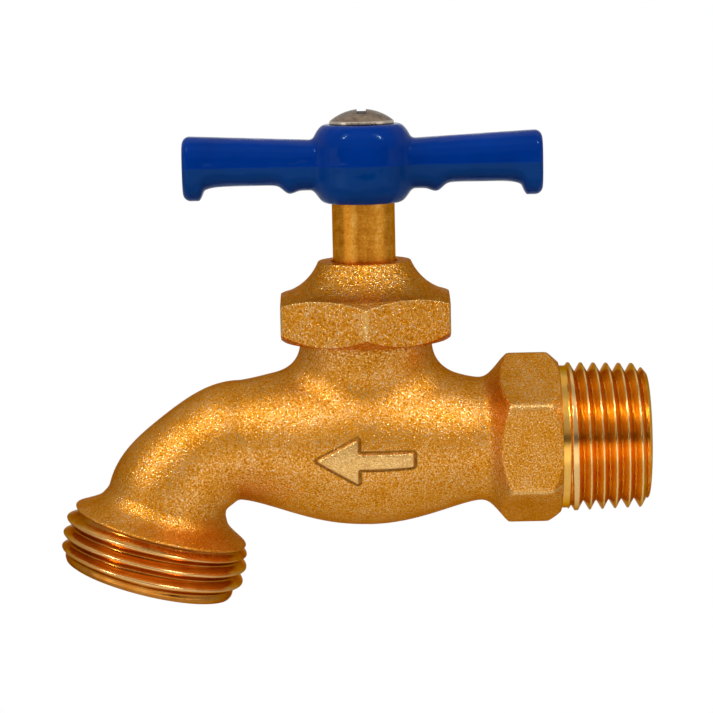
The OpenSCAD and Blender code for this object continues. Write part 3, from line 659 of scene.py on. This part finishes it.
class Finish:
    """One material: node() adds any node, principled() ends the tree."""

    def __init__(self, name):
        self.material = bpy.data.materials.new(name)
        self.material.use_nodes = True
        self.tree = self.material.node_tree
        self.tree.nodes.clear()
        self.place = self.node("ShaderNodeTexCoord", out="Object")

    def node(self, kind, settings=None, sockets=None, out=0):
        """Adds a node of a kind, sets its settings, then the values or links of its sockets."""
        node = self.tree.nodes.new(kind)
        for key, value in (settings or {}).items():
            if key == "stops":
                ramp = node.color_ramp.elements
                while len(ramp) < len(value):
                    ramp.new(1.0)
                for element, (at, colour) in zip(ramp, value):
                    element.position, element.color = at, (*colour, 1.0)
            else:
                setattr(node, key, value)
        for key, value in (sockets or {}).items():
            if isinstance(value, Reading):
                self.tree.links.new(value.socket, node.inputs[key])
            else:
                node.inputs[key].default_value = value
        return Reading(self, node.outputs[out])

    def noise(self, scale, detail=2.0, rough=0.5, stretch=None):
        """A noise on Object coordinates; scale is in cells a metre."""
        at = self.place
        if stretch:
            at = self.node("ShaderNodeMapping", {}, {"Vector": at, "Scale": stretch})
        sockets = {"Vector": at, "Scale": scale, "Detail": detail, "Roughness": rough}
        return self.node("ShaderNodeTexNoise", {}, sockets)

    def mask(self, name):
        """A mask that the piece's mesh carries."""
        return self.node("ShaderNodeAttribute", {"attribute_name": name}, out="Fac")

    def axis(self, name):
        """One Object coordinate."""
        return self.node("ShaderNodeSeparateXYZ", {}, {0: self.place}, name)

    def step(self, value, start, end):
        """0 where the value is at start, 1 where it is at end, smooth between."""
        return self.node("ShaderNodeMapRange", {"interpolation_type": "SMOOTHSTEP"},
                         {"Value": value, "From Min": start, "From Max": end})

    def ramp(self, factor, *stops):
        return self.node("ShaderNodeValToRGB", {"stops": stops}, {"Fac": factor}, "Color")

    def mix(self, factor, a, b):
        return self.node("ShaderNodeMix", {"data_type": "RGBA"}, {0: factor, 6: a, 7: b}, 2)

    def bump(self, height, strength, distance, under=None):
        sockets = {"Height": height, "Strength": strength, "Distance": distance}
        if under:
            sockets["Normal"] = under
        return self.node("ShaderNodeBump", {}, sockets)

    def shader(self, sockets):
        named = {key.replace("_", " "): value for key, value in sockets.items()}
        return self.node("ShaderNodeBsdfPrincipled", {}, named)

    def end(self, shader):
        output = self.tree.nodes.new("ShaderNodeOutputMaterial")
        self.tree.links.new(shader.socket, output.inputs["Surface"])
        return self.material

    def principled(self, **sockets):
        return self.end(self.shader(sockets))

    def lit(self, share, **sockets):
        """A surface that shows plain white where share is 1."""
        white = self.node("ShaderNodeEmission", {}, {"Color": (1, 1, 1, 1), "Strength": 1.0})
        shown = {0: share, 1: self.shader(sockets), 2: white}
        return self.end(self.node("ShaderNodeMixShader", {}, shown))


WORN_GOLD = (0.97, 0.66, 0.26, 1)
STAIN_BROWN = (0.16, 0.06, 0.008, 1)
GROOVE_PAINTED_SHADE = (0.30, 0.075, 0.004, 1)
CREST_PAINTED_HIGHLIGHT = (0.97, 0.64, 0.29, 1)
RIM_PAINTED_HIGHLIGHT = (0.9, 0.76, 0.62, 1)
SEAT_PAINTED_SHADOW = (0.05, 0.03, 0.02, 1)
SLOT_PAINTED_SHADE = (0.035, 0.025, 0.02, 1)


def cast_brass_finish(name, grain_scale, grain_depth, matt, *shades):
    """Sand-cast brass: cloudy gold colour, a grain of small facets, and a brighter worn relief."""
    f = Finish(name)
    cloud = f.noise(260, 3, 0.6)
    grain = f.noise(grain_scale, 2.5, 0.62)
    fine = f.noise(grain_scale * 2.3, 1.0)
    raised, stained = f.mask("raised"), f.mask("stained")
    speck = grain * 0.6 + fine * 0.4 + (cloud - 0.5) * 0.14
    colour = f.ramp(speck, *zip((0.38, 0.46, 0.54, 0.65), shades))
    colour = f.mix(raised * (grain * 0.6 + 0.25), colour, WORN_GOLD)
    colour = f.mix(stained * 0.75, colour, STAIN_BROWN)
    rough = matt - (grain - 0.5) * 1.5 + (cloud - 0.5) * 0.12 - raised * 0.08
    height = f.bump(cloud, 0.15, 0.0006)
    height = f.bump(grain + fine * 0.2, 0.5, grain_depth, height)
    return f.principled(Base_Color=colour, Metallic=1.0, Roughness=rough, Normal=height,
                        Specular_Tint=(0.5, 0.27, 0.06, 1))


def machined_brass_finish(name, stretch, pale, deep, low, high, groove_shade=0.0):
    """Cut brass: fine tool lines along the cut and faint clouds of tarnish; where groove_shade is
    set, the grooves get painted shade and the crests a painted highlight."""
    f = Finish(name)
    lines = f.noise(1.0, 2, 0.6, stretch)
    cloud = f.noise(420, 3, 0.55)
    colour = f.ramp(cloud * 0.7 + lines * 0.3, (0.32, deep), (0.66, pale))
    if groove_shade:
        raised = f.mask("raised")
        # Painted shade: the deeper a point lies in a groove, the more it is painted dark brown.
        colour = f.mix((1 - raised) ** 2 * groove_shade, colour, GROOVE_PAINTED_SHADE)
        # Painted highlight: the tops of the crests are painted pale gold.
        colour = f.mix(raised ** 6 * 0.7, colour, CREST_PAINTED_HIGHLIGHT)
    rough = low + (high - low) * (cloud * 0.6 + lines * 0.4)
    height = f.bump(lines, 0.35, 0.00004)
    return f.principled(Base_Color=colour, Metallic=1.0, Roughness=rough, Normal=height,
                        Specular_Tint=(0.55, 0.3, 0.08, 1))


def stem_brass_finish():
    """Turned stem, handled for years: brown freckles, clouds and upright streaks over faint tool
    lines."""
    f = Finish("stem_brass_worn")
    freckle = f.noise(3200, 2, 0.6)
    cloud = f.noise(800, 3, 0.6)
    lines = f.noise(1.0, 2, 0.6, (400, 400, 9000))
    bands = f.noise(1.0, 2, 0.5, (520, 520, 30))
    shades = ((0.36, (0.46, 0.135, 0.006)), (0.46, (0.66, 0.235, 0.016)),
              (0.55, (0.82, 0.345, 0.036)), (0.64, (0.95, 0.52, 0.13)))
    colour = f.ramp(freckle * 0.22 + cloud * 0.28 + bands * 0.35 + lines * 0.15, *shades)
    rough = 0.2 + cloud * 0.2 + freckle * 0.1
    height = f.bump(freckle * 0.5 + lines, 0.2, 0.00006)
    return f.principled(Base_Color=colour, Metallic=1.0, Roughness=rough, Normal=height,
                        Specular_Tint=(0.8, 0.5, 0.2, 1))


def enamel_finish():
    """Dipped blue enamel: deep gloss with slow waves, dust nibs and the faint ridge of the mould's
    parting line; above the ridge the blue is painted paler as light, below it darker as shade."""
    f = Finish("blue_enamel_gloss")
    drift = f.noise(140, 2)
    wave = f.noise(330, 1.5)
    nib = f.noise(2600, 1)
    over = f.axis("Z") - (HUB_MID + ARM_LIFT - PARTING_DROP) * MM
    # Painted light and shade: the upper half gets a paler blue and the lower half a darker one.
    upper = f.ramp(drift, (0.3, (0.0001, 0.026, 0.205)), (0.7, (0.0002, 0.033, 0.262)))
    lower = f.ramp(drift, (0.3, (0.0001, 0.029, 0.158)), (0.7, (0.0002, 0.036, 0.2)))
    half = f.step(over, -0.0004, 0.0002)
    rough = 0.06 + drift * 0.06 + nib * 0.03
    height = f.bump(wave, 0.35, 0.0006)
    height = f.bump(1 / ((over / 0.00012) ** 2 + 1), 0.4, 0.0001, height)
    height = f.bump(nib, 0.12, 0.00004, height)
    return f.principled(Base_Color=f.mix(half, lower, upper), Roughness=rough, Normal=height,
                        Specular_IOR_Level=0.12, Specular_Tint=(0.45, 0.8, 1, 1))


def nickel_finish():
    """Plated screw: grey metal with tumbled scratches and a cloudy tarnish, a painted highlight
    along the rim, a painted shadow line where it sits on the hub and painted shade in the slot."""
    f = Finish("nickel_plate")
    cloud = f.noise(700, 3, 0.6)
    scratch = f.noise(1.0, 2, 0.6, (900, 7000, 900))
    colour = f.ramp(cloud, (0.3, (0.22, 0.15, 0.10)), (0.7, (0.46, 0.34, 0.245)))
    across, up = f.axis("X"), f.axis("Z")
    slot = f.node("ShaderNodeMath", {"operation": "LESS_THAN"},
                  {0: (across + INLET_REACH * MM) ** 2, 1: (SLOT_HALF * MM) ** 2})
    slot = slot * f.node("ShaderNodeMath", {"operation": "GREATER_THAN"},
                         {0: up, 1: SLOT_FLOOR * MM})
    # Painted highlight: a band of the head just above the hub is painted pale and made smoother.
    rim = f.step(up - HUB_TOP * MM, 0.0006, 0.0004)
    # Painted shadow: the lowest strip of the head, where it sits on the hub, is painted near black.
    seat = f.step(up - HUB_TOP * MM, 0.00025, 0.0001)
    colour = f.mix(rim * 0.9, colour, RIM_PAINTED_HIGHLIGHT)
    colour = f.mix(seat * 0.9, colour, SEAT_PAINTED_SHADOW)
    # Painted shade: the slot is painted near black and made mostly non-metal and rough.
    colour = f.mix(slot, colour, SLOT_PAINTED_SHADE)
    rough = 0.15 + cloud * 0.16 + scratch * 0.08 + slot * 0.3 - rim * 0.08
    height = f.bump(scratch + cloud * 0.5, 0.3, 0.00004)
    return f.principled(Base_Color=colour, Metallic=1.0 - slot * 0.9, Roughness=rough,
                        Normal=height)


def dull_finish(name, dark, light, scale, rough):
    """Packing or rubber: two close shades in clouds over a fine matt grain."""
    f = Finish(name)
    cloud = f.noise(scale, 3, 0.6)
    colour = f.ramp(cloud, (0.3, dark), (0.7, light))
    return f.principled(Base_Color=colour, Roughness=rough + cloud * 0.1,
                        Normal=f.bump(cloud, 0.3, 0.0001))


CAST_SHADES = ((0.54, 0.165, 0.002), (0.76, 0.275, 0.008), (0.86, 0.395, 0.05),
               (0.97, 0.68, 0.42))
CAST = cast_brass_finish("cast_brass_grain", 3900, 0.0002, 0.40, *CAST_SHADES)
NUT_CAST = cast_brass_finish("nut_brass_grain", 2800, 0.0005, 0.36, *CAST_SHADES)
PIPE_CUT = machined_brass_finish(
    "pipe_thread_cut", (9000, 500, 500),
    (0.99, 0.57, 0.12), (0.92, 0.44, 0.055), 0.16, 0.30, 0.04)
HOSE_CUT = machined_brass_finish(
    "hose_thread_cut", (500, 500, 7000),
    (0.86, 0.40, 0.08), (0.70, 0.23, 0.02), 0.14, 0.28, 0.55)
TURNED = machined_brass_finish(
    "turned_brass", (300, 300, 9000),
    (0.78, 0.32, 0.035), (0.62, 0.22, 0.013), 0.26, 0.42)
ENAMEL = enamel_finish()
NICKEL = nickel_finish()
STEM_BRASS = stem_brass_finish()
PACKING = dull_finish("graphite_packing", (0.03, 0.03, 0.032), (0.07, 0.07, 0.072), 1500, 0.6)
RUBBER = dull_finish("black_rubber", (0.012, 0.012, 0.013), (0.03, 0.03, 0.03), 1200, 0.65)


# Pieces


cast_rings, cast_raised = casting_rings()
skin("casting", cast_rings, "tap", CAST, ["valve_body"],
     masks={"raised": cast_raised})
arrow, arrow_top, arrow_line = arrow_rings()
skin("flow_arrow", arrow, "tap", CAST,
     masks={"raised": arrow_top, "stained": arrow_line})
pipe, pipe_high = inlet_thread_rings()
skin("inlet_thread", pipe, "tap", PIPE_CUT, ring_closed=True,
     masks={"raised": pipe_high}, crease=THREAD_CREASE)
hose, hose_high = hose_thread_rings()
skin("hose_thread", hose, "tap", HOSE_CUT, ring_closed=True,
     masks={"raised": hose_high}, crease=THREAD_CREASE)
nut, nut_worn = nut_rings()
skin("bonnet_nut", nut, "tap", NUT_CAST, ["packing_nut"], ring_closed=True,
     masks={"raised": nut_worn})
skin("tee_handle", handle_rings(), "spindle", ENAMEL, ["handle"])

for node, finish in (("stem", STEM_BRASS), ("handle_screw", NICKEL), ("packing_ring", PACKING),
                     ("friction_ring", TURNED), ("disc_holder", TURNED), ("seat_washer", RUBBER),
                     ("seat_screw", TURNED)):
    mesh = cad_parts[node].data
    mesh.materials.clear()
    mesh.materials.append(finish)


# Stage, light and camera


FLOOR_Z = -0.8
LAMP_TARGET = (-0.04, 0, 0.01)
WORLD_GREY = (0.42, 0.42, 0.42, 1)


def stage_strip(name, points):
    """A sheet through points[i, j] with two points across, as (object, mesh)."""
    i = np.arange(len(points) - 1)
    faces = np.stack([2 * i, 2 * i + 1, 2 * i + 3, 2 * i + 2], axis=-1)
    mesh = bpy.data.meshes.new(name)
    mesh.from_pydata(points.reshape(-1, 3).tolist(), [], faces.tolist())
    strip = bpy.data.objects.new(name, mesh)
    bpy.context.scene.collection.objects.link(strip)
    return strip, mesh


def studio_sweep():
    """Pale floor that rises into a backdrop: a line with a quarter-circle, carried along x. The
    backdrop shows plain white to the camera and, dimmed, in reflections."""
    depth, bend_r, height, wide = 1.6, 0.6, 3.0, 5.0
    turn = np.linspace(0, np.pi / 2, 24)
    y = np.concatenate([[-3.0], depth + bend_r * np.sin(turn), [depth + bend_r]])
    z = np.concatenate([[0.0], bend_r * (1 - np.cos(turn)), [height]]) + FLOOR_Z
    x = np.array([-wide, wide])
    y, z = y[:, None], z[:, None]
    points = np.stack(np.broadcast_arrays(x[None] + 0 * y, y, z), axis=-1)
    sweep, mesh = stage_strip("sweep", points)
    mesh.shade_smooth()
    f = Finish("pale_paper")
    tint = f.ramp(f.noise(3, 2), (0.3, (0.93, 0.93, 0.93)), (0.7, (0.95, 0.95, 0.95)))
    seen, glossy, through = (f.node("ShaderNodeLightPath", out=f"Is {ray} Ray")
                             for ray in ("Camera", "Glossy", "Transmission"))
    up, across = f.axis("Z"), f.axis("X")
    band = f.step(up, FLOOR_Z + 0.06, FLOOR_Z + 0.14)
    top = f.step(up, 0.6, 0.15)
    middle = f.step(across * across, 0.5, 0.2)
    share = seen * band * top + (glossy + through) * middle * (band * 0.4 + 0.2) * top
    mesh.materials.append(f.lit(share, Base_Color=tint, Roughness=0.9))


def dark_card():
    """Upright card behind the camera, dull black: an arc carried upwards. Only metal and enamel
    mirror it; no view shows the card itself."""
    radius, low, high = 0.75, -0.03, 0.17
    around = np.linspace(-1.0, 1.0, 17)[:, None]
    x, y = radius * np.sin(around) - 0.04, -radius * np.cos(around)
    z = np.array([low, high])
    points = np.stack(np.broadcast_arrays(x + 0 * z, y, z[None]), axis=-1)
    card, mesh = stage_strip("card", points)
    f = Finish("black_card")
    black = f.ramp(f.noise(9), (0.3, (0.01, 0.01, 0.01)), (0.7, (0.02, 0.02, 0.02)))
    mesh.materials.append(f.principled(Base_Color=black, Roughness=0.9))
    card.visible_camera = False


def lamp(name, at, size, watts):
    """A soft box at a place, turned to the tap."""
    light = bpy.data.lights.new(name, "AREA")
    light.shape, light.size, light.size_y = "RECTANGLE", size[0], size[1]
    light.energy = watts
    box = bpy.data.objects.new(name, light)
    look = np.array(LAMP_TARGET, float) - np.array(at, float)
    look /= np.linalg.norm(look)
    side = np.cross(look, (0, 0, 1))
    side /= np.linalg.norm(side)
    up = np.cross(side, look)
    turn = np.eye(4)
    turn[:3, 0], turn[:3, 1], turn[:3, 2], turn[:3, 3] = side, up, -look, at
    box.matrix_world = Matrix(turn.tolist())
    bpy.context.scene.collection.objects.link(box)


def camera():
    """A long lens in front of the tap, 8 degrees above it, rolled a little as the photograph is."""
    target, distance = (-0.0414, 0.0, 0.01222), 0.411
    rise, roll = math.radians(8), math.radians(1.2)
    ahead = np.array((0, math.cos(rise), -math.sin(rise)))
    right = np.array((1.0, 0, 0))
    up = np.array((0, math.sin(rise), math.cos(rise)))
    turn = np.eye(4)
    turn[:3, 0] = right * math.cos(roll) - up * math.sin(roll)
    turn[:3, 1] = right * math.sin(roll) + up * math.cos(roll)
    turn[:3, 2] = -ahead
    turn[:3, 3] = np.array(target) - ahead * distance
    data = bpy.data.cameras.new("camera")
    data.lens, data.sensor_width = 145.0, 36.0
    data.clip_start, data.clip_end = 0.01, 50
    eye = bpy.data.objects.new("camera", data)
    eye.matrix_world = Matrix(turn.tolist())
    bpy.context.scene.collection.objects.link(eye)
    bpy.context.scene.camera = eye


studio_sweep()
dark_card()
lamp("key_left", (-0.54, -0.41, 0.635), (0.19, 0.40), 0.6)
lamp("core_left", (-0.52, -0.41, 0.60), (0.05, 0.18), 1.6)
lamp("key_right", (0.46, -0.41, 0.635), (0.19, 0.40), 0.55)
lamp("core_right", (0.44, -0.41, 0.60), (0.05, 0.18), 1.55)
lamp("top_front", (-0.04, -0.50, 0.78), (1.2, 0.5), 0.6)
lamp("top_back", (-0.04, 0.36, 0.92), (1.2, 0.5), 0.55)
lamp("table_fill", (-0.04, -1.3, -0.45), (4.5, 0.7), 7.4)
lamp("side_left", (-1.05, -0.55, -0.1), (0.7, 0.6), 0.75)
lamp("side_right", (1.0, -0.45, -0.2), (0.6, 0.6), 0.4)
world = bpy.data.worlds.new("studio")
world.use_nodes = True
world.node_tree.nodes["Background"].inputs["Color"].default_value = WORLD_GREY
bpy.context.scene.world = world
bpy.context.scene.view_settings.view_transform = "Standard"
camera()
